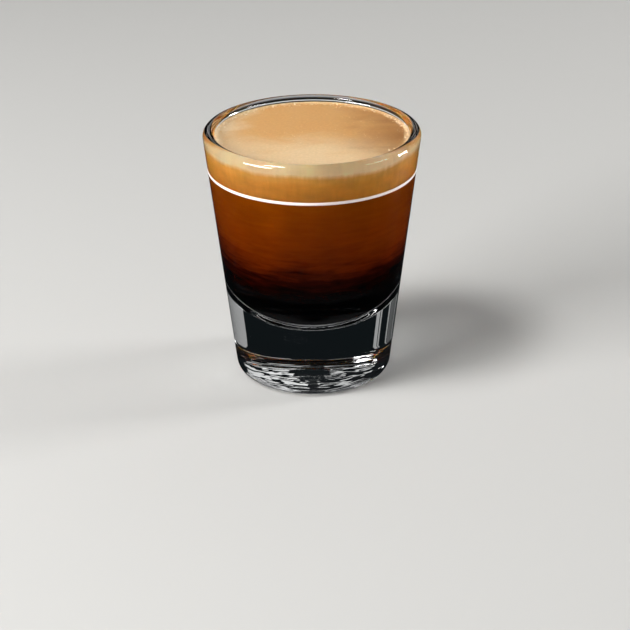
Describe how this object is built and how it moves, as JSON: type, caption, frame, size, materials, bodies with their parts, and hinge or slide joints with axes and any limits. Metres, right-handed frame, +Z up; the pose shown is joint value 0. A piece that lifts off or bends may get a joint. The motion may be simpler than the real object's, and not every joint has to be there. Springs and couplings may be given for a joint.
{
  "type": "espresso shot",
  "caption": "Espresso under a deep crema, in a clear tapered shot glass with a thick solid base and a white fill line.",
  "frame": {"origin": "centre of the glass's foot, on the surface that it stands on", "axes": "+Z up along the glass's axis; +X and +Y are any two directions square to it, because the whole is round"},
  "size_m": [0.051, 0.051, 0.0611],
  "materials": {
    "clear_glass": "polished",
    "coffee": "gloss",
    "crema": "satin",
    "white_enamel": "gloss"
  },
  "bodies": {
    "root": {"glass": "clear_glass", "coffee": "coffee", "crema": "crema", "fill_line": "white_enamel"}
  },
  "joints": []
}
